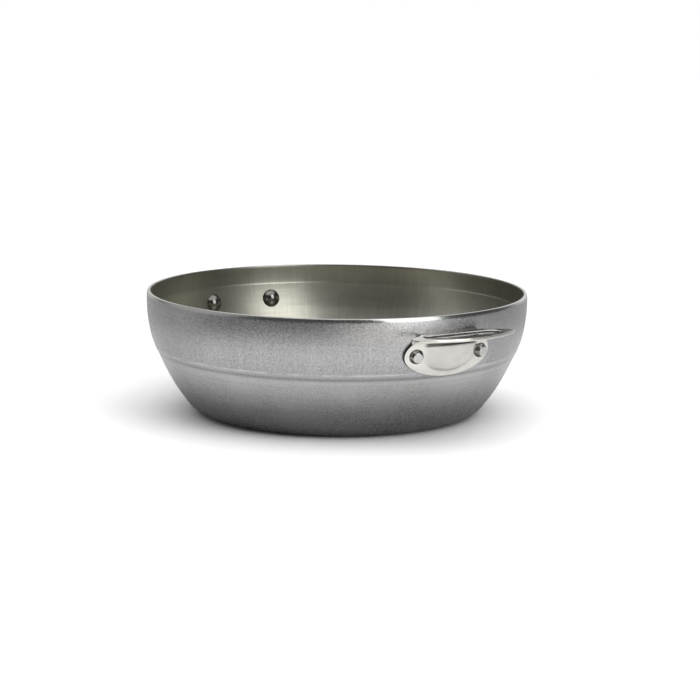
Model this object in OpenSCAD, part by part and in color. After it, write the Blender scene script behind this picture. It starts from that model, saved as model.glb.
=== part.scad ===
// Deep round steel pan with curved sides and two riveted ear handles.
// +Z is up, the origin is the centre of the flat underside, and the handles lie at +X and -X.
// The wall's outline is a chain of tangent arcs, so one slope angle names one point of it:
// 0 degrees is the flat underside, 90 degrees a vertical wall, and more than that leans inward.

/* [Pan] */
// Outer diameter at the rim
rim_d = 280; // [250:1:320]
// Height of the rim above the underside
pan_h = 90; // [87:1:98]
// Thickness of the pan's steel
wall_t = 2.5; // [1.5:0.1:3.5]
// Radius of the rounded heel between underside and wall
heel_r = 20; // [14:1:24]
// Radius of the flank above the heel
flank_r = 160; // [150:1:170]
// Radius of the short knee between flank and shoulder
knee_r = 40; // [20:1:60]
// Height of the bevel around the rim's outer edge
bevel_h = 1.6; // [0.8:0.1:3]
// Depth of the bevel around the rim's outer edge
bevel_in = 0.5; // [0.2:0.1:0.9]

/* [Handles] */
// Width of the oval plate
plate_w = 72.4; // [70:0.2:80]
// Height of the whole oval that the plate is cut from
plate_oval_h = 32.8; // [30:0.2:34]
// Height of the oval's centre below the rim
plate_drop = 26.6; // [26:0.1:28]
// Thickness of the plate's border
plate_t = 2.2; // [1.6:0.1:3]
// How far the plate's middle stands out from its border
panel_rise = 0.7; // [0.3:0.1:1.2]
// Height of the flange's upper face below the rim
flange_drop = 11.3; // [10:0.1:13]
// Thickness of the flange
flange_t = 2.2; // [1.6:0.1:3]
// How far the line through the flange's two tips is past the rim
flange_out = 14.5; // [13.5:0.5:16]
// Depth of the flange's lens outline, from its back bow to its front bow
flange_depth = 31; // [28:1:33]
// Radius of both bows of the lens outline
bow_r = 78; // [70:1:90]
// Radius of the flange's rounded tips
tip_r = 4.5; // [3:0.5:6]
// How far the straight back edge at the root is past the rim
wing_out = 3.5; // [3:0.1:5]
// Width of the root that joins flange and plate
root_w = 53; // [48:1:58]
// Radius of the fillet under the flange
fillet_r = 8; // [6:0.5:8]
// Length of the finger slot
slot_l = 62; // [40:1:62]
// Width of the finger slot
slot_w = 11.5; // [8:0.5:12]
// How far the slot's centre line is past the rim
slot_out = 13.5; // [13:0.5:14]

/* [Rivets] */
// Height of the rivets below the rim
rivet_drop = 26.5; // [26:0.1:28]
// Angle of each rivet from its handle's centre line, seen from above
rivet_angle = 11.2; // [10.6:0.1:11.8]
// Diameter of a rivet's shank
shank_d = 6; // [5:0.5:7]
// Diameter of the round head inside the pan
dome_d = 14; // [12:0.5:16]
// Height of the round head inside the pan
dome_h = 4.4; // [3:0.1:5]
// Diameter at the foot of the tail that is set against the plate
tail_d = 10.6; // [9:0.1:11]
// Diameter of the tail's flat top
tail_top_d = 7; // [5:0.1:8]
// Height of the tail
tail_h = 3; // [2:0.1:4]

/* [Hidden] */

$fn = 96;
round_fn = 240;       // the large turned shapes
slope_step = 2.5;     // degrees between points of a curved outline
cut = 60;             // how far a cutting shape runs past what it cuts

// Slopes at which one arc of the wall hands over to the next
heel_slope = 51;
flank_slope = 70.5;
knee_slope = 76.5;
rim_slope = 93.3;

// The shoulder arc takes up what is left of the height, and the flat what is left of the radius
shoulder_r = (pan_h - heel_r * (1 - cos(heel_slope)) - flank_r * (cos(heel_slope) - cos(flank_slope))
              - knee_r * (cos(flank_slope) - cos(knee_slope))) / (cos(knee_slope) - cos(rim_slope));
shoulder_c = [rim_d / 2 - shoulder_r * sin(rim_slope), pan_h + shoulder_r * cos(rim_slope)];
knee_c = shoulder_c + (shoulder_r - knee_r) * normal(knee_slope);
flank_c = knee_c + (knee_r - flank_r) * normal(flank_slope);
heel_c = flank_c + (flank_r - heel_r) * normal(heel_slope);

// Fit of the handle and rivets
plate_gap = 0.1;      // between the wall and the plate's back
hole_play = 0.05;     // between a shank and its hole, on the radius
seat_gap = 0.05;      // between a head's rim and what it bears on
back_r = 3.5;         // radius of the fold on the wall side
panel_w = 45;         // width of the plate's raised middle
panel_oval_h = 24.4;  // height of the oval that bounds the raised middle

rim_r = rim_d / 2;
plate_z = pan_h - plate_drop;
flange_z = pan_h - flange_drop;
rivet_z = pan_h - rivet_drop;
face_d = plate_gap + plate_t;
dome_sink = dome_d * dome_d / 16 * (1 / rim_r + 1 / shoulder_r);   // sag of the wall under a head

// Slope at which a fillet of radius r, lying d outside the wall, starts towards height z
function fold_slope(d, r, z) = acos((shoulder_c.y - (z - r)) / (shoulder_r + d + r));
back_slope = fold_slope(plate_gap, back_r, flange_z);
fillet_slope = fold_slope(face_d, fillet_r, flange_z - flange_t);
plate_low = plate_z - plate_oval_h / 2 - 1;
low_slope = acos((flank_c.y - plate_low) / flank_r);
rivet_slope = acos((shoulder_c.y - rivet_z) / shoulder_r);
fillet_x = shoulder_c.x + (shoulder_r + face_d + fillet_r) * sin(fillet_slope);

// Direction that points out of the wall, in the plane through the pan's axis
function normal(slope) = [sin(slope), -cos(slope)];

// Point of the wall's outline at a slope, d outside the outer face
function wall_point(slope, d) =
    slope <= heel_slope ? heel_c + (heel_r + d) * normal(slope)
    : slope <= flank_slope ? flank_c + (flank_r + d) * normal(slope)
    : slope <= knee_slope ? knee_c + (knee_r + d) * normal(slope)
    : shoulder_c + (shoulder_r + d) * normal(slope);

// Points of the wall's outline between two slopes, rising or falling
function wall_points(from, to, d) =
    let (n = ceil(abs(to - from) / slope_step))
    [for (i = [0 : n]) wall_point(from + (to - from) * i / n, d)];

// Points of an arc from one angle to another
function arc_points(centre, r, from, to) =
    let (n = ceil(abs(to - from) / 6))
    [for (i = [0 : n]) centre + r * [cos(from + (to - from) * i / n), sin(from + (to - from) * i / n)]];

// Points of an oval
function oval_points(centre, w, h) =
    [for (a = [0 : 7.5 : 352.5]) centre + [w / 2 * cos(a), h / 2 * sin(a)]];

// Section of the pressed bowl
module bowl_section() {
    rim_x = wall_point(rim_slope, 0).x;
    outer = wall_points(0, rim_slope - 1, 0);
    inner = wall_points(rim_slope - 1, 0, -wall_t);
    polygon(concat(
        [[0, 0]],
        outer,
        [[rim_x, pan_h - bevel_h], [rim_x - bevel_in, pan_h], [rim_x - wall_t, pan_h]],
        inner,
        [[0, wall_t]]
    ));
}

// Puts its children on a rivet's axis, with +X out of the pan and the origin on the wall's outer face
module at_rivet(angle) {
    seat = wall_point(rivet_slope, 0);
    rotate([0, 0, angle]) translate([seat.x, 0, seat.y]) rotate([0, 90 - rivet_slope, 0]) children();
}

// Holes for both rivets of the handle at +X
module rivet_holes() {
    for (side = [-1, 1]) {
        at_rivet(side * rivet_angle) rotate([0, 90, 0])
            cylinder(d = shank_d + 2 * hole_play, h = cut / 2, center = true);
    }
}

module pan_body() color("slategray") difference() {
    rotate_extrude($fn = round_fn) bowl_section();
    rivet_holes();
    rotate([0, 0, 180]) rivet_holes();
}

// Section of plate, fold and flange root
module plate_section() {
    back_c = wall_point(back_slope, plate_gap + back_r);
    fillet_c = wall_point(fillet_slope, face_d + fillet_r);
    polygon(concat(
        wall_points(low_slope, back_slope, plate_gap),
        arc_points(back_c, back_r, 90 + back_slope, 90),
        [[fillet_x, flange_z], [fillet_x, flange_z - flange_t]],
        arc_points(fillet_c, fillet_r, 90, 90 + fillet_slope),
        wall_points(fillet_slope, low_slope, face_d)
    ));
}

// Section of the plate's raised middle
module panel_section() {
    polygon(concat(
        wall_points(low_slope, fillet_slope, plate_gap),
        wall_points(fillet_slope, low_slope, face_d + panel_rise)
    ));
}

// Turns a section about the pan's axis and keeps what an outline seen along X covers
module cut_from_turn(near_x) {
    intersection() {
        rotate_extrude($fn = round_fn) children(0);
        translate([near_x, 0, 0]) rotate([90, 0, 90]) linear_extrude(cut) children(1);
    }
}

// Outline of the plate and the flange's root, seen along X
module plate_outline() {
    polygon(oval_points([0, plate_z], plate_w, plate_oval_h));
    translate([-root_w / 2, plate_z]) square([root_w, flange_z - plate_z + 1]);
}

// Outline of the flange, seen from above: a lens of two bows with rounded tips, cut straight at the back
module flange_outline() {
    mid_x = rim_r + flange_out;
    bow_x = bow_r - flange_depth / 2;
    tip_y = sqrt(pow(bow_r - tip_r, 2) - bow_x * bow_x);
    tip_a = atan2(tip_y, bow_x);
    back_a = acos((mid_x + bow_x - rim_r - wing_out) / bow_r);
    polygon(concat(
        arc_points([mid_x - bow_x, 0], bow_r, -tip_a, tip_a),
        arc_points([mid_x, tip_y], tip_r, tip_a, 180 - tip_a),
        arc_points([mid_x + bow_x, 0], bow_r, 180 - tip_a, 180 - back_a),
        arc_points([mid_x + bow_x, 0], bow_r, 180 + back_a, 180 + tip_a),
        arc_points([mid_x, -tip_y], tip_r, 180 + tip_a, 360 - tip_a)
    ));
}

// Outline of the finger slot, seen from above
module slot_outline() {
    end_y = (slot_l - slot_w) / 2;
    translate([rim_r + slot_out, 0]) {
        square([slot_w, 2 * end_y], center = true);
        for (side = [-1, 1]) {
            translate([0, side * end_y]) circle(d = slot_w);
        }
    }
}

// The ear handle at +X
module ear_handle() {
    near_x = shoulder_c.x + shoulder_r / 2;
    difference() {
        union() {
            cut_from_turn(near_x) {
                plate_section();
                plate_outline();
            }
            cut_from_turn(near_x) {
                panel_section();
                polygon(oval_points([0, plate_z], panel_w, panel_oval_h));
            }
            translate([0, 0, flange_z - flange_t]) linear_extrude(flange_t) flange_outline();
        }
        translate([0, 0, flange_z - cut / 4]) linear_extrude(cut / 2) slot_outline();
        rivet_holes();
    }
}

module right_handle() color("lightgray") ear_handle();

module left_handle() color("lightgray") rotate([0, 0, 180]) ear_handle();

// A set rivet: round head inside the pan, shank, and a tapered tail outside the plate
module rivet(angle) {
    head_x = -wall_t - seat_gap - dome_sink;
    tail_x = face_d + seat_gap;
    ball_r = (dome_d * dome_d / 4 + dome_h * dome_h) / (2 * dome_h);
    color("dimgray") at_rivet(angle) rotate([0, 90, 0]) {
        translate([0, 0, head_x]) cylinder(d = shank_d, h = tail_x - head_x);
        translate([0, 0, tail_x]) cylinder(d1 = tail_d, d2 = tail_top_d, h = tail_h);
        intersection() {
            translate([0, 0, head_x - dome_h + ball_r]) sphere(r = ball_r);
            translate([0, 0, head_x - cut]) cylinder(r = cut, h = cut);
        }
    }
}

module right_front_rivet() rivet(-rivet_angle);

module right_rear_rivet() rivet(rivet_angle);

module left_front_rivet() rivet(180 + rivet_angle);

module left_rear_rivet() rivet(180 - rivet_angle);

pan_body();
right_handle();
left_handle();
right_front_rivet();
right_rear_rivet();
left_front_rivet();
left_rear_rivet();
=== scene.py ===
"""Deep round steel pan with two riveted ear handles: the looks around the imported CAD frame.

Metres, +Z up, in the CAD's own frame: the handles lie at +X and -X, and the underside is at z = 0.
Every node is replaced by a finer piece: the pan is a turned shell with its pressed lines, each handle is
a sheet that follows the wall and folds out to a flange, and each rivet is turned about its own axis.
"""
import math

import bmesh
import bpy
from mathutils import Matrix, Vector, geometry, kdtree


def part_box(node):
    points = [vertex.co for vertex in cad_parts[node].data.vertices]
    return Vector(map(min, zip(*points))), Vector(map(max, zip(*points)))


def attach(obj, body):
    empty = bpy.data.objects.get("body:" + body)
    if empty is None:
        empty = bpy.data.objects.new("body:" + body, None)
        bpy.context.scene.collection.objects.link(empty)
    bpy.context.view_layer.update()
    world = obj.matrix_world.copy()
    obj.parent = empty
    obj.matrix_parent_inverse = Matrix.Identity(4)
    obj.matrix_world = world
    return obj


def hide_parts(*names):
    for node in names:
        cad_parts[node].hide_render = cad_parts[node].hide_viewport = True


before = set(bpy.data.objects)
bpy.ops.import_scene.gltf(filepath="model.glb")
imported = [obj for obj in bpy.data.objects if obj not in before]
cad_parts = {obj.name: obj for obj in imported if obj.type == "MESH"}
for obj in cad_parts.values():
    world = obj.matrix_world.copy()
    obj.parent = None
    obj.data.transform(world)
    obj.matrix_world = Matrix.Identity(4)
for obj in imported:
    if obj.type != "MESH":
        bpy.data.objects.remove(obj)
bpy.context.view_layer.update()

MM = 0.001

# The pan's outline: tangent arcs, each named by the slope at which it ends (0 flat, 90 vertical)
PAN_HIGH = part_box("pan_body")[1]
PAN_H = PAN_HIGH[2]
WALL_T = 2.5 * MM
HEEL_R = 20 * MM
FLANK_R = 160 * MM
KNEE_R = 40 * MM
HEEL_SLOPE = math.radians(51)
FLANK_SLOPE = math.radians(70.5)
KNEE_SLOPE = math.radians(76.5)
RIM_SLOPE = math.radians(93.3)
BEVEL_H = 1.6 * MM
BEVEL_IN = 0.5 * MM
BOX_EASE = 0.02 * MM       # keeps the turned shell inside the CAD's box


def shoulder_radius():
    """Radius of the shoulder's arc, which takes up the height that the other arcs leave."""
    used = HEEL_R * (1 - math.cos(HEEL_SLOPE))
    used += FLANK_R * (math.cos(HEEL_SLOPE) - math.cos(FLANK_SLOPE))
    used += KNEE_R * (math.cos(FLANK_SLOPE) - math.cos(KNEE_SLOPE))
    return (PAN_H - used) / (math.cos(KNEE_SLOPE) - math.cos(RIM_SLOPE))


SHOULDER_R = shoulder_radius()
RIM_R = PAN_HIGH[0] - SHOULDER_R * (1 - math.sin(RIM_SLOPE)) - BOX_EASE

# The handle's sheet
HANDLE_LOW, HANDLE_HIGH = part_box("right_handle")
FLANGE_Z = HANDLE_HIGH[2]
FLANGE_FRONT = HANDLE_HIGH[0]
PLATE_W = 72.4 * MM
PLATE_OVAL_H = 32.8 * MM
PLATE_Z = HANDLE_LOW[2] + PLATE_OVAL_H / 2
PLATE_T = 2.2 * MM
FLANGE_T = 2.2 * MM
FLANGE_DEPTH = 31 * MM
BOW_R = 78 * MM
TIP_R = 4.5 * MM
WING_X = RIM_R + 3.5 * MM
ROOT_W = 53 * MM
FILLET_R = 8 * MM
BACK_R = 3.5 * MM
PLATE_GAP = 0.1 * MM
PANEL_W = 45 * MM
PANEL_OVAL_H = 24.4 * MM
PANEL_RISE = 0.8 * MM
PANEL_TOP = PLATE_Z + 8.4 * MM
SLOT_L = 62 * MM
SLOT_W = 11.5 * MM
SLOT_X = RIM_R + 13.5 * MM
EDGE_ROUND = 0.45 * MM
PLATE_LOW_SLOPE = math.radians(58)

# The rivets
RIVET_Z = PAN_H - 26.5 * MM
RIVET_TURN = math.radians(11.2)
SHANK_R = 3 * MM
DOME_R = 7 * MM
DOME_H = 4.4 * MM
TAIL_R = 5.3 * MM
TAIL_TOP_R = 3.5 * MM
TAIL_H = 3 * MM

# Where the camera stands, from the pan's axis
CAMERA_TURN = math.radians(55.93)
CAMERA_DISTANCE = 1.5582
CAMERA_HEIGHT = 0.3183
CAMERA_YAW = math.radians(0.369)
CAMERA_PITCH = math.radians(9.963)
CAMERA_ROLL = math.radians(0.726)
CAMERA_LENS = 109.6
CAMERA_SENSOR = 36.0


# ---------------------------------------------------------------- the wall's outline

def outward(slope):
    """Direction out of the wall in the plane (radius, height)."""
    return Vector((math.sin(slope), -math.cos(slope)))


def arc_centres():
    """Centres of the heel, flank, knee and shoulder arcs."""
    shoulder = Vector((RIM_R - SHOULDER_R * math.sin(RIM_SLOPE), PAN_H + SHOULDER_R * math.cos(RIM_SLOPE)))
    knee = shoulder + (SHOULDER_R - KNEE_R) * outward(KNEE_SLOPE)
    flank = knee + (KNEE_R - FLANK_R) * outward(FLANK_SLOPE)
    heel = flank + (FLANK_R - HEEL_R) * outward(HEEL_SLOPE)
    return heel, flank, knee, shoulder


HEEL_C, FLANK_C, KNEE_C, SHOULDER_C = arc_centres()


def wall_point(slope, offset):
    """Point (radius, height) of the wall's outline, offset outward from the outer face."""
    if slope <= HEEL_SLOPE:
        return HEEL_C + (HEEL_R + offset) * outward(slope)
    if slope <= FLANK_SLOPE:
        return FLANK_C + (FLANK_R + offset) * outward(slope)
    if slope <= KNEE_SLOPE:
        return KNEE_C + (KNEE_R + offset) * outward(slope)
    return SHOULDER_C + (SHOULDER_R + offset) * outward(slope)


def smooth(low, high, value):
    """Smooth step from 0 at low to 1 at high."""
    t = min(max((value - low) / (high - low), 0.0), 1.0)
    return t * t * (3 - 2 * t)


# ---------------------------------------------------------------- meshes

ON_AXIS = 1e-7


def new_piece(name, mesh_data, materials, node):
    """Turns a bmesh into a piece that stands for a CAD node."""
    mesh = bpy.data.meshes.new(name)
    mesh_data.to_mesh(mesh)
    mesh_data.free()
    piece = bpy.data.objects.new(name, mesh)
    bpy.context.collection.objects.link(piece)
    for material in materials:
        mesh.materials.append(material)
    mesh.polygons.foreach_set("use_smooth", [True] * len(mesh.polygons))
    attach(piece, "root")
    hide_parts(node)


def turned(mesh_data, outline, segments, material_of=None):
    """Turns an outline of (radius, height) points about Z; it starts and ends on the axis."""
    rings = []
    for radius, height in outline:
        if radius < ON_AXIS:
            rings.append([mesh_data.verts.new((0, 0, height))])
            continue
        ring = []
        for step in range(segments):
            angle = 2 * math.pi * step / segments
            ring.append(mesh_data.verts.new((radius * math.cos(angle), radius * math.sin(angle), height)))
        rings.append(ring)
    for index in range(len(rings) - 1):
        low, high = rings[index], rings[index + 1]
        for step in range(segments):
            after = (step + 1) % segments
            if len(low) == 1:
                corners = (low[0], high[after], high[step])
            elif len(high) == 1:
                corners = (low[step], low[after], high[0])
            else:
                corners = (low[step], low[after], high[after], high[step])
            face = mesh_data.faces.new(corners)
            if material_of:
                face.material_index = material_of(index)


# ---------------------------------------------------------------- the pan

TURN_STEPS = 320
FLOOR_RINGS = 6
PRESSED_Z = 46.6 * MM      # middle of the pressed line's step, outside
PRESSED_HALF = 1.7 * MM
PRESSED_STEP = 0.42 * MM
PRESSED_FADE = (18 * MM, 42 * MM)   # the step dies out down the wall between these heights
RIDGE_Z = 49.8 * MM
RIDGE_HALF = 0.7 * MM
RIDGE_H = 0.07 * MM
INNER_LINE_Z = 75.7 * MM   # the line pressed into the inside, below the rim
INNER_HALF = 0.45 * MM
INNER_STEP = 0.12 * MM
INNER_LEDGE = 1 * MM       # the ledge keeps its full depth for this height above its line
FINE_GAP = 0.45 * MM       # spacing of points up the wall near a pressed line
COARSE_GAP = 1.3 * MM      # and away from it
PRESSED_NEAR = 6 * MM
INNER_NEAR = 4 * MM
SLOPE_STEP = math.radians(0.05)
RUN_END = RIM_SLOPE - math.radians(1.0)   # the rim's own section goes on from here


def outer_relief(height):
    """How far the outer face stands out at a height: a step in below the pressed line, and its ridge."""
    step = smooth(PRESSED_Z - PRESSED_HALF, PRESSED_Z + PRESSED_HALF, height) - 1
    ridge = math.exp(-((height - RIDGE_Z) / RIDGE_HALF) ** 2)
    return PRESSED_STEP * step * smooth(*PRESSED_FADE, height) + RIDGE_H * ridge


def inner_relief(height):
    """How far the inner face stands into the bowl: set back by a small ledge, and back again at the rim."""
    ledge = smooth(INNER_LINE_Z - INNER_HALF, INNER_LINE_Z + INNER_HALF, height)
    return -INNER_STEP * ledge * (1 - smooth(INNER_LINE_Z + INNER_LEDGE, PAN_H, height))


def wall_run(offset, relief, sign):
    """Points up the wall, close together by a pressed line; the relief is outward where sign is 1."""
    points = []
    slope = 0.0
    last = None
    while slope < RUN_END:
        point = wall_point(slope, offset)
        shown = wall_point(slope, offset + sign * relief(point.y))
        near = abs(point.y - PRESSED_Z) < PRESSED_NEAR or abs(point.y - INNER_LINE_Z) < INNER_NEAR
        gap = FINE_GAP if near else COARSE_GAP
        if last is None or (point - last).length >= gap:
            points.append((shown.x, shown.y))
            last = point
        slope += SLOPE_STEP
    return points


def rounded_rim(radius_out, radius_in):
    """The rim's section: bevel, flat cut top and softened corners, from outside to inside."""
    soft = 0.25 * MM
    low_out = Vector((radius_out, PAN_H - BEVEL_H))
    top_out = Vector((radius_out - BEVEL_IN, PAN_H))
    lean = (top_out - low_out).normalized()
    points = [(low_out.x, low_out.y - soft), tuple(low_out + lean * soft)]
    points.append(tuple(top_out - lean * soft))
    points.append((top_out.x - 0.3 * soft, PAN_H - 0.25 * soft))
    points.append((top_out.x - 1.3 * soft, PAN_H))
    points.append((radius_in + 1.3 * soft, PAN_H))
    points.append((radius_in + 0.3 * soft, PAN_H - 0.3 * soft))
    points.append((radius_in, PAN_H - 1.3 * soft))
    return points


def make_pan(materials):
    """The pressed bowl, turned in one piece."""
    outside = wall_run(0.0, outer_relief, 1)
    inside = wall_run(-WALL_T, inner_relief, -1)
    rim = rounded_rim(RIM_R, RIM_R - WALL_T)
    floor = [(ring * HEEL_C.x / FLOOR_RINGS, 0.0) for ring in range(FLOOR_RINGS)]
    inner_floor = [(radius, WALL_T) for radius, _ in floor]
    outline = floor + outside + rim + inside[::-1] + inner_floor[::-1]
    first_rim = len(floor) + len(outside)
    first_inside = first_rim + len(rim)

    def material_of(index):
        if index < first_rim - 1:
            return 0
        return 2 if index < first_inside - 1 else 1

    mesh_data = bmesh.new()
    turned(mesh_data, outline, TURN_STEPS, material_of)
    bmesh.ops.recalc_face_normals(mesh_data, faces=mesh_data.faces)
    new_piece("pan_body_shell", mesh_data, materials, "pan_body")


# ---------------------------------------------------------------- the handle's sheet

PLATE_STEPS = 60           # points of the section up the plate, and round the fold
FOLD_STEPS = 30


def fold_slope(offset, radius, height):
    """Slope of the wall at which a fold of a radius starts to turn out to a height."""
    return math.acos((SHOULDER_C.y - (height - radius)) / (SHOULDER_R + offset + radius))


def section_paths():
    """Matching points (radius, height) of the sheet's front and back, up the plate, round and out."""
    face = PLATE_GAP + PLATE_T
    front_start = fold_slope(face, FILLET_R, FLANGE_Z - FLANGE_T)
    back_start = fold_slope(PLATE_GAP, BACK_R, FLANGE_Z)
    front, back = [], []
    for i in range(PLATE_STEPS):
        slope = PLATE_LOW_SLOPE + (front_start - PLATE_LOW_SLOPE) * i / PLATE_STEPS
        front.append(wall_point(slope, face))
        back.append(wall_point(slope, PLATE_GAP))
    front_c = wall_point(front_start, face + FILLET_R)
    back_c = wall_point(back_start, PLATE_GAP + BACK_R)
    rise = (SHOULDER_R + PLATE_GAP) * (back_start - front_start)
    arc = BACK_R * back_start
    length = rise + arc + front_c.x - back_c.x
    for i in range(FOLD_STEPS + 1):
        t = i / FOLD_STEPS
        run = length * t
        front.append(front_c - FILLET_R * outward(front_start * (1 - t)))
        if run <= rise:
            back.append(wall_point(front_start + run / (SHOULDER_R + PLATE_GAP), PLATE_GAP))
        elif run <= rise + arc:
            back.append(back_c - BACK_R * outward(back_start - (run - rise) / BACK_R))
        else:
            back.append(Vector((back_c.x + run - rise - arc, FLANGE_Z)))
    return front, back


def runs_along(path):
    """Length of a path up to each of its points."""
    runs = [0.0]
    for a, b in zip(path, path[1:]):
        runs.append(runs[-1] + (b - a).length)
    return runs


FRONT_PATH, BACK_PATH = section_paths()
PATH_S = runs_along(FRONT_PATH)
FOLD_S = PATH_S[-1]
FOLD_X = FRONT_PATH[-1].x
PLATE_EDGE_S = FOLD_S - 9 * MM      # the plate's edge is painted dark as shade up to here
PAINTED_SHADOW_EDGE = 0.3 * MM                # and a painted shadow line runs this far in over its front


def on_path(path, s):
    """Point of a section path at a run s along the front."""
    low, high = 0, len(PATH_S) - 1
    while high - low > 1:
        middle = (low + high) // 2
        if PATH_S[middle] <= s:
            low = middle
        else:
            high = middle
    t = (s - PATH_S[low]) / (PATH_S[high] - PATH_S[low])
    return path[low].lerp(path[high], t)


def run_at_height(z):
    """Run along the front path at which the plate reaches a height."""
    for index in range(len(PATH_S) - 1):
        a, b = FRONT_PATH[index], FRONT_PATH[index + 1]
        if a.y <= z <= b.y:
            return PATH_S[index] + (z - a.y) / (b.y - a.y) * (PATH_S[index + 1] - PATH_S[index])
    return 0.0


def run_at_reach(x, y):
    """Run of a point of the flat flange, seen from above at (x, y)."""
    return FOLD_S + x - math.sqrt(FOLD_X ** 2 - y ** 2)


def run_at_x(x, y):
    """Run at which the sheet's front, at y, stands over x: in the fold as well as on the flat."""
    reach = math.hypot(x, y)
    if x >= math.sqrt(FOLD_X ** 2 - y ** 2):
        return run_at_reach(x, y)
    for index in range(len(PATH_S) - 2, 0, -1):
        a, b = FRONT_PATH[index], FRONT_PATH[index + 1]
        if a.x <= reach <= b.x:
            return PATH_S[index] + (reach - a.x) / (b.x - a.x) * (PATH_S[index + 1] - PATH_S[index])
    return FOLD_S


def sheet_point(path, y, s):
    """Place in space of the sheet's point (y, s) on its front or back path."""
    if s <= FOLD_S:
        flat = on_path(path, s)
        return Vector((math.sqrt(max(flat.x ** 2 - y ** 2, 0.0)), y, flat.y))
    height = path[-1].y
    return Vector((math.sqrt(FOLD_X ** 2 - y ** 2) + s - FOLD_S, y, height))


def arc_run(centre, radius, start, end, step):
    """Points (x, y) along an arc, with ends."""
    count = max(2, int(abs(end - start) * radius / step))
    points = []
    for i in range(count + 1):
        angle = start + (end - start) * i / count
        points.append((centre[0] + radius * math.cos(angle), centre[1] + radius * math.sin(angle)))
    return points


OUTLINE_GAP = 0.5 * MM     # spacing of points along an outline as it is first drawn
OVAL_STEPS = 90
SLOT_STEPS = 30


def flange_outline():
    """Half of the flange's outline (x, y) from above: back wing, tip and front bow."""
    mid_x = FLANGE_FRONT - FLANGE_DEPTH / 2
    bow_x = BOW_R - FLANGE_DEPTH / 2
    tip_y = math.sqrt((BOW_R - TIP_R) ** 2 - bow_x ** 2)
    tip_a = math.atan2(tip_y, bow_x)
    back_a = math.acos((mid_x + bow_x - WING_X) / BOW_R)
    lens = arc_run((mid_x + bow_x, 0), BOW_R, math.pi - back_a, math.pi - tip_a, OUTLINE_GAP)
    lens += arc_run((mid_x, tip_y), TIP_R, math.pi - tip_a, tip_a, OUTLINE_GAP)[1:]
    lens += arc_run((mid_x - bow_x, 0), BOW_R, tip_a, 0.0, OUTLINE_GAP)[1:]
    return lens


def sheet_outline():
    """The blank's closed outline in (y, s): oval plate, root and lens-shaped flange."""
    half = []
    root_y = ROOT_W / 2
    corner = math.acos(root_y / (PLATE_W / 2))
    for i in range(OVAL_STEPS + 1):
        a = -math.pi / 2 + (corner + math.pi / 2) * i / OVAL_STEPS
        z = PLATE_Z + PLATE_OVAL_H / 2 * math.sin(a)
        half.append((PLATE_W / 2 * math.cos(a), run_at_height(z)))
    lens = flange_outline()
    start_s, end_s = half[-1][1], run_at_reach(*lens[0])
    steps = int((end_s - start_s) / OUTLINE_GAP)
    for i in range(1, steps):
        half.append((root_y, start_s + (end_s - start_s) * i / steps))
    half += [(y, run_at_reach(x, y)) for x, y in lens]
    return half + [(-y, s) for y, s in half[-2:0:-1]]


def slot_outline():
    """The finger slot's closed outline in (y, s)."""
    end_y = (SLOT_L - SLOT_W) / 2
    sides = [end_y * (1 - i / SLOT_STEPS) for i in range(1, 2 * SLOT_STEPS)]
    points = arc_run((SLOT_X, end_y), SLOT_W / 2, 0.0, math.pi, OUTLINE_GAP)
    points += [(SLOT_X - SLOT_W / 2, y) for y in sides]
    points += arc_run((SLOT_X, -end_y), SLOT_W / 2, math.pi, 2 * math.pi, OUTLINE_GAP)
    points += [(SLOT_X + SLOT_W / 2, -y) for y in sides]
    return [(y, run_at_x(x, y)) for x, y in points]


def evenly(points, gap):
    """A closed outline with its points evenly spaced."""
    closed = points + [points[0]]
    runs = [0.0]
    for a, b in zip(closed, closed[1:]):
        runs.append(runs[-1] + math.dist(a, b))
    count = int(runs[-1] / gap)
    result = []
    index = 0
    for i in range(count):
        target = runs[-1] * i / count
        while runs[index + 1] < target:
            index += 1
        t = (target - runs[index]) / max(runs[index + 1] - runs[index], 1e-12)
        a, b = closed[index], closed[index + 1]
        result.append((a[0] + (b[0] - a[0]) * t, a[1] + (b[1] - a[1]) * t))
    return result


def softened(points, reach):
    """A closed, evenly spaced outline with its corners rounded by averaging each point's neighbours."""
    count = len(points)
    weights = [math.exp(-(k / reach) ** 2) for k in range(-3 * reach, 3 * reach + 1)]
    total = sum(weights)
    result = []
    for i in range(count):
        y = sum(w * points[(i + k - 3 * reach) % count][0] for k, w in enumerate(weights))
        s = sum(w * points[(i + k - 3 * reach) % count][1] for k, w in enumerate(weights))
        result.append((y / total, s / total))
    return result


def inset(points, distance):
    """A closed outline moved to its left by a distance."""
    count = len(points)
    result = []
    for i in range(count):
        before, after = points[i - 1], points[(i + 1) % count]
        run = Vector((after[0] - before[0], after[1] - before[1])).normalized()
        result.append((points[i][0] - run.y * distance, points[i][1] + run.x * distance))
    return result


def inside(point, outline):
    """Whether a point lies inside a closed outline."""
    found = False
    x, y = point
    for (ax, ay), (bx, by) in zip(outline, outline[1:] + outline[:1]):
        if (ay > y) != (by > y) and x < (bx - ax) * (y - ay) / (by - ay) + ax:
            found = not found
    return found


SHEET_GAP = 1.1 * MM       # spacing of points over the sheet
EDGE_GAP = 0.9 * MM        # and along its edges
CORNER_GAP = 0.4 * MM      # and along the outer edge while its corners are softened
CORNER_REACH = 3           # how many of those points a corner is softened over
RIM_STEPS = (0.08, 0.3, 0.62, 1.0, 1.6)   # inset rings along an edge, in edge radii
EDGE_CLEAR = (RIM_STEPS[-1] + 0.7) * EDGE_ROUND
HOLE_SLOPE = math.radians(85)             # the wall's radius at this slope spaces the rivet holes
HOLE_EASE = 1.02
INSIDE_EDGES = 1           # makes the net keep only the triangles inside its outlines
SAME_POINT = 1e-7


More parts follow.
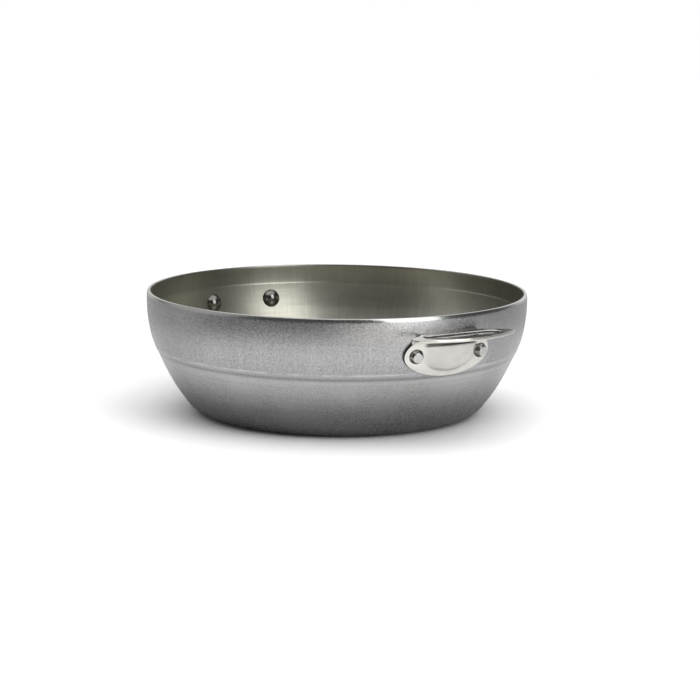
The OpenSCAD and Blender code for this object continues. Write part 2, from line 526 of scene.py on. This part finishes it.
def rivet_hole(side):
    """Outline in (y, s) of the rivet hole at one side of the plate."""
    hole_y = wall_point(HOLE_SLOPE, PLATE_GAP).x * math.sin(RIVET_TURN)
    centre = (side * hole_y, run_at_height(RIVET_Z))
    return arc_run(centre, SHANK_R * HOLE_EASE, 2 * math.pi, 0.0, EDGE_GAP)[:-1]


def on_sheet(point, loops):
    """Whether a point of the blank lies inside its outer loop and in none of the holes."""
    outer, *holes = loops
    return inside(point, outer) and not any(inside(point, hole) for hole in holes)


def field_points(loops, tree):
    """Points in rows and columns over the sheet, clear of the rings along its edges."""
    low_s = min(s for y, s in loops[0])
    high_s = max(s for y, s in loops[0])
    high_y = max(y for y, s in loops[0])
    rows = int((high_s - low_s) / SHEET_GAP)
    columns = int(2 * high_y / SHEET_GAP)
    points = []
    for row in range(rows + 1):
        for column in range(columns + 1):
            y = -high_y + 2 * high_y * column / columns
            s = low_s + (high_s - low_s) * row / rows
            if tree.find((y, s, 0))[2] >= EDGE_CLEAR and on_sheet((y, s), loops):
                points.append((y, s))
    return points


def sheet_net():
    """The flat sheet's points and triangles, a tree of its edge points, and which points edge the slot."""
    outer = evenly(softened(evenly(sheet_outline(), CORNER_GAP), CORNER_REACH), EDGE_GAP)
    slot = evenly(slot_outline(), EDGE_GAP)[::-1]
    loops = [outer, slot, rivet_hole(-1), rivet_hole(1)]
    points, edges = [], []
    for loop in loops:
        first = len(points)
        points += loop
        edges += [(first + i, first + (i + 1) % len(loop)) for i in range(len(loop))]
    tree = kdtree.KDTree(len(points))
    for index, (y, s) in enumerate(points):
        tree.insert((y, s, 0), index)
    tree.balance()
    for loop in loops:
        for step in RIM_STEPS:
            points += inset(loop, step * EDGE_ROUND)
    points += field_points(loops, tree)
    flat_points = [Vector(point) for point in points]
    found = geometry.delaunay_2d_cdt(flat_points, edges, [], INSIDE_EDGES, SAME_POINT)
    net = [tuple(point) for point in found[0]]
    faces = []
    for face in found[2]:
        centre = (sum(net[i][0] for i in face) / 3, sum(net[i][1] for i in face) / 3)
        if on_sheet(centre, loops):
            faces.append(tuple(face))
    slot_points = range(len(outer), len(outer) + len(slot))
    in_slot = [tree.find((y, s, 0))[1] in slot_points for y, s in net]
    return net, faces, tree, in_slot


def panel_rise(y, s):
    """How far the plate's raised middle stands out at a point: full up to its crease under the fold."""
    z = on_path(FRONT_PATH, min(s, FOLD_S)).y
    away = math.hypot(2 * y / PANEL_W, 2 * min(z - PLATE_Z, 0.0) / PANEL_OVAL_H)
    return PANEL_RISE * (1 - smooth(0.84, 1.06, away)) * (1 - smooth(PANEL_TOP - 2.2 * MM, PANEL_TOP, z))


def sheared(net, in_slot, a, b):
    """Whether an edge face is a dark sheared one, painted dark as shade: all round the plate and in the
    slot.
    """
    return in_slot[a] or max(net[a][1], net[b][1]) < PLATE_EDGE_S


def bent(mesh_data, y, s, tree):
    """Front and back vertices of the sheet's point (y, s), drawn together along the edges to round them."""
    front = sheet_point(FRONT_PATH, y, s)
    back = sheet_point(BACK_PATH, y, s)
    middle = (front + back) / 2
    normal = (front - back).normalized()
    gap = min(tree.find((y, s, 0))[2] / EDGE_ROUND, 1.0)
    half = (front - back).length / 2 - EDGE_ROUND * (1 - math.sqrt(max(1 - (1 - gap) ** 2, 0.0)))
    raised = middle + normal * (half + panel_rise(y, s))
    return mesh_data.verts.new(raised), mesh_data.verts.new(middle - normal * half)


def make_handle(name, node, turn, sheet, materials):
    """An ear handle: the flat sheet bent to its place, with softened edges."""
    net, faces, tree, in_slot = sheet
    mesh_data = bmesh.new()
    front, back = zip(*[bent(mesh_data, y, s, tree) for y, s in net])
    # Points of the painted shadow line along the plate's front edge, where it meets the wall
    dark = [tree.find((y, s, 0))[2] < PAINTED_SHADOW_EDGE and s < PLATE_EDGE_S for y, s in net]
    uses = {}
    for a, b, c in faces:
        face = mesh_data.faces.new((front[a], front[b], front[c]))
        face.material_index = 1 if dark[a] and dark[b] and dark[c] else 0
        mesh_data.faces.new((back[c], back[b], back[a]))
        for edge in ((a, b), (b, c), (c, a)):
            uses.setdefault(tuple(sorted(edge)), []).append(edge)
    for found in uses.values():
        if len(found) == 1:
            a, b = found[0]
            face = mesh_data.faces.new((front[b], front[a], back[a], back[b]))
            face.material_index = 1 if sheared(net, in_slot, a, b) else 0
    loose = [v for v in mesh_data.verts if not v.link_faces]
    bmesh.ops.delete(mesh_data, geom=loose, context="VERTS")
    bmesh.ops.recalc_face_normals(mesh_data, faces=mesh_data.faces)
    bmesh.ops.rotate(mesh_data, verts=mesh_data.verts, cent=(0, 0, 0), matrix=Matrix.Rotation(turn, 3, "Z"))
    new_piece(name, mesh_data, materials, node)


# ---------------------------------------------------------------- the rivets

RIVET_STEPS = 64
DOME_STEPS = 24
TAIL_TOP_RINGS = 4         # the outline's last steps, over the tail's top, which is painted lighter than the sides as lit
SEAT_EASE = 0.05 * MM      # how far a head and a tail stand off the sheets


def rivet_outline():
    """A set rivet's outline (radius, run out of the pan), from the dome's crown to the tail's top."""
    sag = DOME_R ** 2 / 4 * (1 / RIM_R + 1 / SHOULDER_R)   # the curved wall's, round the dome's edge
    seat = -WALL_T - SEAT_EASE - sag
    ball_r = (DOME_R ** 2 + DOME_H ** 2) / (2 * DOME_H)
    ball_c = seat - DOME_H + ball_r
    lip = 0.45 * MM
    reach = math.asin((DOME_R - lip * 0.6) / ball_r)
    points = []
    for i in range(DOME_STEPS + 1):
        a = reach * i / DOME_STEPS
        points.append((ball_r * math.sin(a), ball_c - ball_r * math.cos(a)))
    points.append((DOME_R - 0.05 * MM, seat - lip * 0.45))
    points.append((DOME_R - 0.1 * MM, seat - lip * 0.1))
    points.append((DOME_R - lip, seat))
    points.append((SHANK_R, seat))
    foot = PLATE_GAP + PLATE_T + SEAT_EASE
    points.append((SHANK_R, foot))
    points.append((TAIL_R - 0.2 * MM, foot))
    points.append((TAIL_R, foot + 0.15 * MM))
    points.append((TAIL_R - 0.1 * MM, foot + 0.5 * MM))
    points.append((TAIL_TOP_R + 0.35 * MM, foot + TAIL_H - 0.45 * MM))
    points.append((TAIL_TOP_R, foot + TAIL_H - 0.08 * MM))
    points.append((TAIL_TOP_R - 0.4 * MM, foot + TAIL_H))
    points.append((TAIL_TOP_R * 0.55, foot + TAIL_H - 0.04 * MM))
    points.append((0.0, foot + TAIL_H - 0.1 * MM))
    return points


def make_rivet(node, azimuth, materials):
    """A rivet through the wall and a handle's plate, on an axis square to the wall."""
    slope = math.acos((SHOULDER_C.y - RIVET_Z) / SHOULDER_R)
    seat = wall_point(slope, 0.0)
    mesh_data = bmesh.new()
    outline = rivet_outline()
    tail_top = len(outline) - TAIL_TOP_RINGS
    # The tail's top gets the painted lit copy of the rivet steel
    turned(mesh_data, outline, RIVET_STEPS, lambda index: 1 if index >= tail_top else 0)
    bmesh.ops.recalc_face_normals(mesh_data, faces=mesh_data.faces)
    place = Matrix.Rotation(azimuth, 4, "Z") @ Matrix.Translation((seat.x, 0, seat.y))
    place = place @ Matrix.Rotation(math.pi - slope, 4, "Y")
    mesh_data.transform(place)
    new_piece(node + "_turned", mesh_data, materials, node)


# ---------------------------------------------------------------- materials

class Nodes:
    """Shorthand for building a node tree."""

    def __init__(self, tree):
        self.tree = tree
        tree.nodes.clear()

    def add(self, kind, **values):
        node = self.tree.nodes.new(kind)
        for key, value in values.items():
            setattr(node, key, value)
        return node

    def link(self, output, target):
        self.tree.links.new(output, target)

    def math(self, operation, a, b=None, c=None):
        node = self.add("ShaderNodeMath", operation=operation)
        for index, value in enumerate((a, b, c)):
            if value is None:
                continue
            if isinstance(value, (int, float)):
                node.inputs[index].default_value = value
            else:
                self.link(value, node.inputs[index])
        return node.outputs[0]

    def times(self, first, *others):
        for other in others:
            first = self.math("MULTIPLY", first, other)
        return first

    def spread(self, value, low, high):
        """Smooth step from 0 at low to 1 at high, which may run downwards."""
        node = self.add("ShaderNodeMapRange", interpolation_type="SMOOTHSTEP")
        self.link(value, node.inputs["Value"])
        node.inputs["From Min"].default_value = low
        node.inputs["From Max"].default_value = high
        return node.outputs["Result"]

    def zone(self, value, rise_from, rise_to, fall_from, fall_to):
        """1 where a value is between rise_to and fall_from, and 0 outside rise_from and fall_to."""
        return self.times(self.spread(value, rise_from, rise_to), self.spread(value, fall_to, fall_from))

    def split(self, vector):
        node = self.add("ShaderNodeSeparateXYZ")
        self.link(vector, node.inputs[0])
        return node.outputs

    def length(self, vector):
        node = self.add("ShaderNodeVectorMath", operation="LENGTH")
        self.link(vector, node.inputs[0])
        return node.outputs["Value"]

    def along(self, vector, direction):
        node = self.add("ShaderNodeVectorMath", operation="DOT_PRODUCT")
        self.link(vector, node.inputs[0])
        node.inputs[1].default_value = direction
        return node.outputs["Value"]

    def scaled(self, coordinates, scale):
        node = self.add("ShaderNodeMapping")
        node.inputs["Scale"].default_value = scale
        self.link(coordinates, node.inputs["Vector"])
        return node.outputs["Vector"]

    def noise(self, vector, scale, detail=4.0, roughness=0.5):
        node = self.add("ShaderNodeTexNoise")
        node.inputs["Scale"].default_value = scale
        node.inputs["Detail"].default_value = detail
        node.inputs["Roughness"].default_value = roughness
        self.link(vector, node.inputs["Vector"])
        return node.outputs["Fac"]

    def blend(self, factor, first, second):
        node = self.add("ShaderNodeMix", data_type="RGBA")
        self.link(factor, node.inputs["Factor"])
        for value, target in ((first, node.inputs["A"]), (second, node.inputs["B"])):
            if isinstance(value, tuple):
                target.default_value = (*value, 1.0)
            else:
                self.link(value, target)
        return node.outputs["Result"]

    def bump(self, height, strength, distance, normal=None):
        node = self.add("ShaderNodeBump")
        node.inputs["Strength"].default_value = strength
        node.inputs["Distance"].default_value = distance
        self.link(height, node.inputs["Height"])
        if normal:
            self.link(normal, node.inputs["Normal"])
        return node.outputs["Normal"]


WRAP_R = 140 * MM          # the radius at which a turn round the pan is measured as a length

# Heights that part the pan's finishes and its painted shade and highlight, each with its soft edge
SHOULDER_START = (47.5 * MM, 52 * MM)                        # the speckled shoulder starts here
PRESSED_LINE_SHADE = (44.8 * MM, 46.0 * MM, 47.6 * MM, 49.0 * MM)     # painted shade in the pressed line's step
RIDGE_HIGHLIGHT = (49.0 * MM, 49.8 * MM, 50.0 * MM, 50.8 * MM)     # painted highlight along its ridge, broken in places
BOWL_FLOOR_END = (12 * MM, 4 * MM)                           # where the rings on the floor end


def new_metal(name):
    """A metal with its nodes, its object coordinates and its shader."""
    material = bpy.data.materials.new(name)
    material.use_nodes = True
    n = Nodes(material.node_tree)
    place = n.add("ShaderNodeTexCoord").outputs["Object"]
    shader = n.add("ShaderNodeBsdfPrincipled")
    shader.inputs["Metallic"].default_value = 1.0
    out = n.add("ShaderNodeOutputMaterial")
    n.link(shader.outputs["BSDF"], out.inputs["Surface"])
    return material, n, place, shader


def around(n, place):
    """Coordinates (length round the pan, height) on the wall, and the height by itself."""
    parts = n.split(place)
    turn = n.math("ARCTAN2", parts["Y"], parts["X"])
    joined = n.add("ShaderNodeCombineXYZ")
    n.link(n.times(turn, WRAP_R), joined.inputs["X"])
    n.link(parts["Z"], joined.inputs["Y"])
    return joined.outputs[0], parts["Z"]


def outside_steel():
    """Bare spun carbon steel: speckled shoulder, smooth flank with spun lines, faint upright streaks,
    painted shade in the pressed line and a painted highlight on its ridge.
    """
    material, n, place, shader = new_metal("carbon_steel_outside")
    wrap, height = around(n, place)
    speckle = n.noise(place, 820.0, 2.0, 0.6)
    fine = n.noise(place, 2600.0, 2.0, 0.6)
    spun = n.noise(n.scaled(place, (6.0, 6.0, 800.0)), 1.0, 2.0, 0.5)
    upright = n.noise(n.scaled(wrap, (700.0, 22.0, 1.0)), 1.0, 3.0, 0.6)
    clouds = n.noise(place, 35.0, 3.0, 0.5)
    breaks = n.noise(place, 60.0, 3.0, 0.6)
    shoulder = n.spread(height, *SHOULDER_START)
    flank = n.blend(n.spread(clouds, 0.35, 0.65), (0.465, 0.464, 0.461), (0.505, 0.504, 0.501))
    upper = n.blend(n.spread(clouds, 0.35, 0.65), (0.315, 0.315, 0.32), (0.35, 0.35, 0.356))
    tone = n.blend(shoulder, flank, upper)
    dust = n.times(n.spread(speckle, 0.35, 0.7), shoulder, 0.45)
    tone = n.blend(dust, tone, (0.54, 0.54, 0.555))
    pits = n.times(n.spread(speckle, 0.48, 0.33), shoulder, 0.45)
    tone = n.blend(pits, tone, (0.20, 0.20, 0.205))
    tone = n.blend(n.times(n.spread(spun, 0.35, 0.7), 0.20), tone, (0.30, 0.30, 0.30))
    tone = n.blend(n.times(n.spread(upright, 0.45, 0.75), 0.20), tone, (0.56, 0.56, 0.57))
    # Painted shade in the pressed line's step
    tone = n.blend(n.times(n.zone(height, *PRESSED_LINE_SHADE), 0.36), tone, (0.24, 0.24, 0.245))
    # Painted highlight along the pressed line's ridge, broken up by noise
    ridge_highlight = n.times(n.zone(height, *RIDGE_HIGHLIGHT), n.spread(breaks, 0.38, 0.6), 0.45)
    tone = n.blend(ridge_highlight, tone, (0.75, 0.75, 0.76))
    n.link(tone, shader.inputs["Base Color"])
    rough = n.math("MULTIPLY_ADD", shoulder, -0.05, 0.25)
    grit = n.times(n.spread(speckle, 0.3, 0.7), n.math("MULTIPLY_ADD", shoulder, 0.4, 0.6))
    rough = n.math("MULTIPLY_ADD", grit, 0.05, rough)
    rough = n.math("MULTIPLY_ADD", n.spread(clouds, 0.3, 0.7), 0.03, rough)
    n.link(rough, shader.inputs["Roughness"])
    grain = n.times(n.math("ADD", speckle, fine), n.math("MULTIPLY_ADD", shoulder, 0.94, 0.06))
    normal = n.bump(grain, 0.6, 0.12 * MM)
    normal = n.bump(spun, 0.25, 0.04 * MM, normal)
    n.link(normal, shader.inputs["Normal"])
    return material


def inside_steel():
    """The bowl's warm satin inside: brushed round and down the wall, ringed on the floor, with painted shade
    on the band above the pressed line.
    """
    material, n, place, shader = new_metal("carbon_steel_inside")
    wrap, height = around(n, place)
    brush = n.noise(n.scaled(place, (25.0, 25.0, 2200.0)), 1.0, 4.0, 0.6)
    down = n.noise(n.scaled(wrap, (900.0, 30.0, 1.0)), 1.0, 3.0, 0.55)
    radius = n.add("ShaderNodeCombineXYZ")
    n.link(n.length(n.scaled(place, (1.0, 1.0, 0.0))), radius.inputs["X"])
    rings = n.noise(radius.outputs[0], 900.0, 3.0, 0.6)
    clouds = n.noise(place, 28.0, 3.0, 0.5)
    floor = n.spread(height, *BOWL_FLOOR_END)
    tone = n.blend(n.spread(clouds, 0.35, 0.65), (0.385, 0.377, 0.322), (0.435, 0.426, 0.368))
    tone = n.blend(n.times(n.spread(brush, 0.35, 0.7), 0.35), tone, (0.32, 0.312, 0.27))
    tone = n.blend(n.times(n.spread(rings, 0.35, 0.7), floor, 0.4), tone, (0.27, 0.262, 0.225))
    streaks = n.times(n.spread(down, 0.4, 0.7), n.math("SUBTRACT", 1.0, floor))
    tone = n.blend(n.times(streaks, 0.32), tone, (0.55, 0.54, 0.475))
    # Painted shade on the band above the inner pressed line, which leans down
    painted_shade_band = n.spread(height, INNER_LINE_Z, INNER_LINE_Z + 1.5 * MM)
    tone = n.blend(n.times(painted_shade_band, 0.30), tone, (0.20, 0.195, 0.168))
    n.link(tone, shader.inputs["Base Color"])
    rough = n.math("MULTIPLY_ADD", n.spread(brush, 0.3, 0.7), 0.08, 0.30)
    n.link(rough, shader.inputs["Roughness"])
    normal = n.bump(brush, 0.32, 0.04 * MM)
    normal = n.bump(streaks, 0.18, 0.02 * MM, normal)
    normal = n.bump(n.times(rings, floor), 0.25, 0.03 * MM, normal)
    n.link(normal, shader.inputs["Normal"])
    return material


def rim_steel():
    """The ground rim: bright with fine lines along the edge."""
    material, n, place, shader = new_metal("ground_rim")
    lines = n.noise(n.scaled(place, (40.0, 40.0, 3000.0)), 1.0, 3.0, 0.6)
    nicks = n.noise(place, 700.0, 3.0, 0.6)
    tone = n.blend(n.spread(nicks, 0.35, 0.7), (0.42, 0.42, 0.41), (0.50, 0.50, 0.49))
    n.link(tone, shader.inputs["Base Color"])
    rough = n.math("MULTIPLY_ADD", n.spread(nicks, 0.3, 0.7), 0.10, 0.14)
    n.link(rough, shader.inputs["Roughness"])
    n.link(n.bump(lines, 0.15, 0.03 * MM), shader.inputs["Normal"])
    return material


# The painted shade in the crease along the raised middle's top, under the fold: its heights, and where it
# fades out to either side
CREASE_SHADE = (PANEL_TOP - 2.7 * MM, PANEL_TOP - 2 * MM, PANEL_TOP - 0.2 * MM, PANEL_TOP + 1 * MM)
CREASE_END = (23.5 * MM, 19 * MM)


def plate_marks(n, place):
    """Masks of the plate's raised middle and of the painted shade in the crease along the middle's top,
    under the fold.
    """
    parts = n.split(place)
    height = parts["Z"]
    across = n.times(parts["Y"], 2 / PANEL_W)
    up = n.math("MULTIPLY_ADD", height, 2 / PANEL_OVAL_H, -2 * PLATE_Z / PANEL_OVAL_H)
    up = n.math("MINIMUM", up, 0.0)
    oval = n.math("SQRT", n.math("ADD", n.times(across, across), n.times(up, up)))
    panel = n.times(n.spread(oval, 1.05, 0.82), n.spread(height, PANEL_TOP, PANEL_TOP - 2 * MM))
    crease_shade = n.zone(height, *CREASE_SHADE)
    crease_shade = n.times(crease_shade, n.spread(n.math("ABSOLUTE", parts["Y"]), *CREASE_END))
    return panel, crease_shade


def stainless():
    """Polished stainless steel with faint polishing lines, dull patches, a duller raised middle and painted
    shade in the crease under the fold.
    """
    material, n, place, shader = new_metal("polished_stainless")
    polish = n.noise(n.scaled(place, (900.0, 60.0, 900.0)), 1.0, 4.0, 0.6)
    patches = n.noise(place, 90.0, 3.0, 0.55)
    grain = n.noise(place, 1500.0, 2.0, 0.6)
    on_panel, crease_shade = plate_marks(n, place)
    margin = n.blend(n.spread(patches, 0.35, 0.7), (0.60, 0.588, 0.55), (0.67, 0.658, 0.625))
    panel = n.blend(n.spread(patches, 0.35, 0.7), (0.48, 0.471, 0.443), (0.55, 0.541, 0.515))
    tone = n.blend(on_panel, margin, panel)
    tone = n.blend(n.times(n.spread(polish, 0.4, 0.75), 0.15), tone, (0.40, 0.392, 0.37))
    # Painted shade in the crease under the fold
    tone = n.blend(n.times(crease_shade, 0.95), tone, (0.06, 0.06, 0.06))
    n.link(tone, shader.inputs["Base Color"])
    rough = n.math("MULTIPLY_ADD", n.spread(patches, 0.35, 0.75), 0.07, 0.12)
    rough = n.math("MULTIPLY_ADD", n.spread(polish, 0.4, 0.75), 0.05, rough)
    n.link(rough, shader.inputs["Roughness"])
    normal = n.bump(polish, 0.08, 0.03 * MM)
    normal = n.bump(grain, 0.10, 0.02 * MM, normal)
    n.link(normal, shader.inputs["Normal"])
    return material


def sheared_edge_and_shade_steel():
    """The handle's sheared edge, painted dark as shade, and a painted shadow line along the plate's front
    edge.
    """
    material, n, place, shader = new_metal("sheared_edge_and_painted_shade")
    lines = n.noise(n.scaled(place, (300.0, 300.0, 60.0)), 1.0, 3.0, 0.6)
    grain = n.noise(place, 1800.0, 2.0, 0.6)
    tone = n.blend(n.spread(lines, 0.35, 0.7), (0.055, 0.053, 0.05), (0.12, 0.116, 0.11))
    n.link(tone, shader.inputs["Base Color"])
    n.link(n.math("MULTIPLY_ADD", n.spread(lines, 0.3, 0.7), 0.12, 0.32), shader.inputs["Roughness"])
    n.link(n.bump(grain, 0.3, 0.03 * MM), shader.inputs["Normal"])
    return material


def rivet_steel(name, dark, light):
    """Smooth steel, a little mottled between two tones."""
    material, n, place, shader = new_metal(name)
    mottle = n.noise(place, 420.0, 4.0, 0.6)
    grain = n.noise(place, 2200.0, 2.0, 0.6)
    tone = n.blend(n.spread(mottle, 0.35, 0.7), dark, light)
    n.link(tone, shader.inputs["Base Color"])
    rough = n.math("MULTIPLY_ADD", n.spread(mottle, 0.3, 0.7), 0.06, 0.09)
    n.link(rough, shader.inputs["Roughness"])
    n.link(n.bump(grain, 0.12, 0.03 * MM), shader.inputs["Normal"])
    return material


# ---------------------------------------------------------------- floor, light and camera

def toward(turn_right, elevation):
    """Direction from the pan, turned to the right of the camera as the camera sees it."""
    azimuth = CAMERA_TURN + math.radians(turn_right)
    level = math.cos(math.radians(elevation))
    return Vector((math.sin(azimuth) * level, -math.cos(azimuth) * level, math.sin(math.radians(elevation))))


# Soft lights all round: turn to the right of the camera, elevation, where the light fades out and where
# it is full (degrees from its middle), and its level
TOP_LIGHT = (0, 90, 52, 18, 3.3)
BACK_LIGHT = (180, 0, 55, 28, 0.85)
RIGHT_BACK_LIGHT = (146, 18, 36, 10, 0.35)
LEFT_LIGHT = (-95, 22, 45, 15, 0.62)
STUDIO_LEVEL = 0.13
TOP_SHADE = 0.5            # how much dimmer the top light is in reflections

# The softbox
KEY_TURN = 43
KEY_ELEVATION = 25
KEY_DISTANCE = 1.15
KEY_W = 0.68
KEY_H = 1.2
KEY_POWER = 6.6
KEY_ON_FLOOR = 0.2         # how much of it the floor takes

# The floor's grey, and the painted shade and light that reflections see in its place
FLOOR_SIDE = 4.0
FLOOR_Z = -0.1 * MM
FLOOR_WHITE = (0.86, 0.86, 0.86)
# Painted shade to the sides and behind the pan, seen only in reflections
FLOOR_ASIDE_SHADE = (0.60, 0.60, 0.60)     # to the sides and behind the pan
# Painted shadow close round the pan's foot, seen only in reflections
FLOOR_NEAR_SHADOW = (0.33, 0.33, 0.33)      # close round the pan's foot
# Painted lighter tone under the foot's rounded edge, seen only in reflections
FLOOR_FOOT_LIGHT = (0.70, 0.70, 0.70)      # under the foot's rounded edge
# Painted shade far away and to the left, and painted light towards the softbox, seen only in reflections
FLOOR_FAR = (0.44, 0.44, 0.44)       # far from the pan, where the studio's light ends
FLOOR_DIM = (0.27, 0.27, 0.27)       # far away, to the left of the camera
FLOOR_LIT = (0.80, 0.78, 0.72)       # far away, towards the softbox
NEAR_END = (0.175, 0.110)            # distances from the pan's axis between which each tone fades
FOOT_END = (0.094, 0.106)
FAR_START = (0.315, 0.385)


def lobe(n, ray, light):
    """A soft round light on the studio's sky, from 0 to 1."""
    turn, elevation, fade, full, _ = light
    cosine = n.along(ray, toward(turn, elevation))
    return n.spread(cosine, math.cos(math.radians(fade)), math.cos(math.radians(full)))


def make_light():
    """A plain studio: white behind the pan for the camera, soft lights all round for the metal."""
    world = bpy.data.worlds.new("studio")
    world.use_nodes = True
    bpy.context.scene.world = world
    n = Nodes(world.node_tree)
    ray = n.add("ShaderNodeTexCoord").outputs["Generated"]
    path = n.add("ShaderNodeLightPath").outputs
    level = STUDIO_LEVEL
    for light in (TOP_LIGHT, BACK_LIGHT, RIGHT_BACK_LIGHT, LEFT_LIGHT):
        level = n.math("MULTIPLY_ADD", lobe(n, ray, light), light[-1], level)
    shade = n.times(path["Is Glossy Ray"], lobe(n, ray, TOP_LIGHT), -TOP_SHADE)
    level = n.times(level, n.math("ADD", shade, 1.0))
    studio = n.add("ShaderNodeBackground")
    n.link(level, studio.inputs["Strength"])
    plain = n.add("ShaderNodeBackground")
    plain.inputs["Color"].default_value = (1.0, 1.0, 1.0, 1.0)
    plain.inputs["Strength"].default_value = 1.0
    chosen = n.add("ShaderNodeMixShader")
    n.link(path["Is Camera Ray"], chosen.inputs["Fac"])
    n.link(studio.outputs[0], chosen.inputs[1])
    n.link(plain.outputs[0], chosen.inputs[2])
    out = n.add("ShaderNodeOutputWorld")
    n.link(chosen.outputs[0], out.inputs["Surface"])


def make_key_light():
    """A tall softbox to the right of the camera, which the bowl's inside and the handle mirror."""
    data = bpy.data.lights.new("softbox", "AREA")
    data.shape = "RECTANGLE"
    data.size = KEY_W
    data.size_y = KEY_H
    data.energy = KEY_POWER
    data.diffuse_factor = KEY_ON_FLOOR
    light = bpy.data.objects.new("softbox", data)
    bpy.context.collection.objects.link(light)
    away = toward(KEY_TURN, KEY_ELEVATION)
    light.location = away * KEY_DISTANCE
    light.rotation_euler = away.to_track_quat("Z", "Y").to_euler()


def floor_tone(n):
    """The floor's colour: white to the eye, and in reflections painted lighter and darker by place, with a
    painted shadow round the pan's foot.
    """
    place = n.add("ShaderNodeTexCoord").outputs["Object"]
    away = n.length(place)
    mirrored = n.add("ShaderNodeLightPath").outputs["Is Glossy Ray"]

    def facing(turn, low, high):
        return n.spread(n.math("DIVIDE", n.along(place, toward(turn, 0)), away), low, high)

    # Painted shade to the sides and behind, seen only in reflections
    tone = n.blend(n.times(facing(0, 0.75, -0.15), mirrored), FLOOR_WHITE, FLOOR_ASIDE_SHADE)
    # Painted shadow close round the pan's foot, lighter under its rounded edge, seen only in reflections
    near_shadow_tone = n.blend(n.spread(away, *FOOT_END), FLOOR_FOOT_LIGHT, FLOOR_NEAR_SHADOW)
    tone = n.blend(n.times(n.spread(away, *NEAR_END), mirrored), tone, near_shadow_tone)
    # Painted shade far from the pan and to the left, painted light towards the softbox, seen only in
    # reflections
    far_light_and_shade = n.blend(facing(-40, 0.60, 0.95), FLOOR_FAR, FLOOR_DIM)
    far_light_and_shade = n.blend(facing(30, 0.86, 0.97), far_light_and_shade, FLOOR_LIT)
    return n.blend(n.times(n.spread(away, *FAR_START), mirrored), tone, far_light_and_shade)


def make_floor():
    """A plain white floor with painted shade and light in reflections: a painted shadow round the pan's
    foot, and darker where it runs out of the studio's light.
    """
    mesh = bpy.data.meshes.new("floor")
    corners = [(x * FLOOR_SIDE, y * FLOOR_SIDE, FLOOR_Z) for x, y in ((-1, -1), (1, -1), (1, 1), (-1, 1))]
    mesh.from_pydata(corners, [], [(0, 1, 2, 3)])
    floor = bpy.data.objects.new("floor", mesh)
    bpy.context.collection.objects.link(floor)
    material = bpy.data.materials.new("floor_white")
    material.use_nodes = True
    n = Nodes(material.node_tree)
    shader = n.add("ShaderNodeBsdfDiffuse")
    n.link(floor_tone(n), shader.inputs["Color"])
    out = n.add("ShaderNodeOutputMaterial")
    n.link(shader.outputs[0], out.inputs["Surface"])
    mesh.materials.append(material)


def make_camera():
    """The camera, looking a little down at the pan."""
    data = bpy.data.cameras.new("camera")
    data.lens = CAMERA_LENS
    data.sensor_width = CAMERA_SENSOR
    camera = bpy.data.objects.new("camera", data)
    bpy.context.collection.objects.link(camera)
    turn = Matrix.Rotation(CAMERA_TURN - CAMERA_YAW, 4, "Z")
    look = Matrix.Rotation(math.pi / 2 - CAMERA_PITCH, 4, "X") @ Matrix.Rotation(CAMERA_ROLL, 4, "Z")
    spot = toward(0, 0) * CAMERA_DISTANCE
    spot.z = CAMERA_HEIGHT
    camera.matrix_world = Matrix.Translation(spot) @ turn @ look
    bpy.context.scene.camera = camera


# ---------------------------------------------------------------- the scene

make_camera()
make_pan([outside_steel(), inside_steel(), rim_steel()])
sheet = sheet_net()
polished = [stainless(), sheared_edge_and_shade_steel()]
make_handle("right_handle_sheet", "right_handle", 0.0, sheet, polished)
make_handle("left_handle_sheet", "left_handle", math.pi, sheet, polished)
dark_steel = rivet_steel("rivet_head_steel", (0.17, 0.167, 0.155), (0.27, 0.265, 0.25))
# Painted light: a lighter copy of the rivet steel for the tails' tops, where the light falls
painted_lit_steel = rivet_steel("rivet_tail_top_painted_light", (0.42, 0.42, 0.41), (0.54, 0.54, 0.53))
rivets = {
    "right_front_rivet": -RIVET_TURN,
    "right_rear_rivet": RIVET_TURN,
    "left_front_rivet": math.pi + RIVET_TURN,
    "left_rear_rivet": math.pi - RIVET_TURN,
}
for rivet, azimuth in rivets.items():
    make_rivet(rivet, azimuth, [dark_steel, painted_lit_steel])
make_light()
make_key_light()
make_floor()
bpy.context.scene.view_settings.view_transform = "Standard"
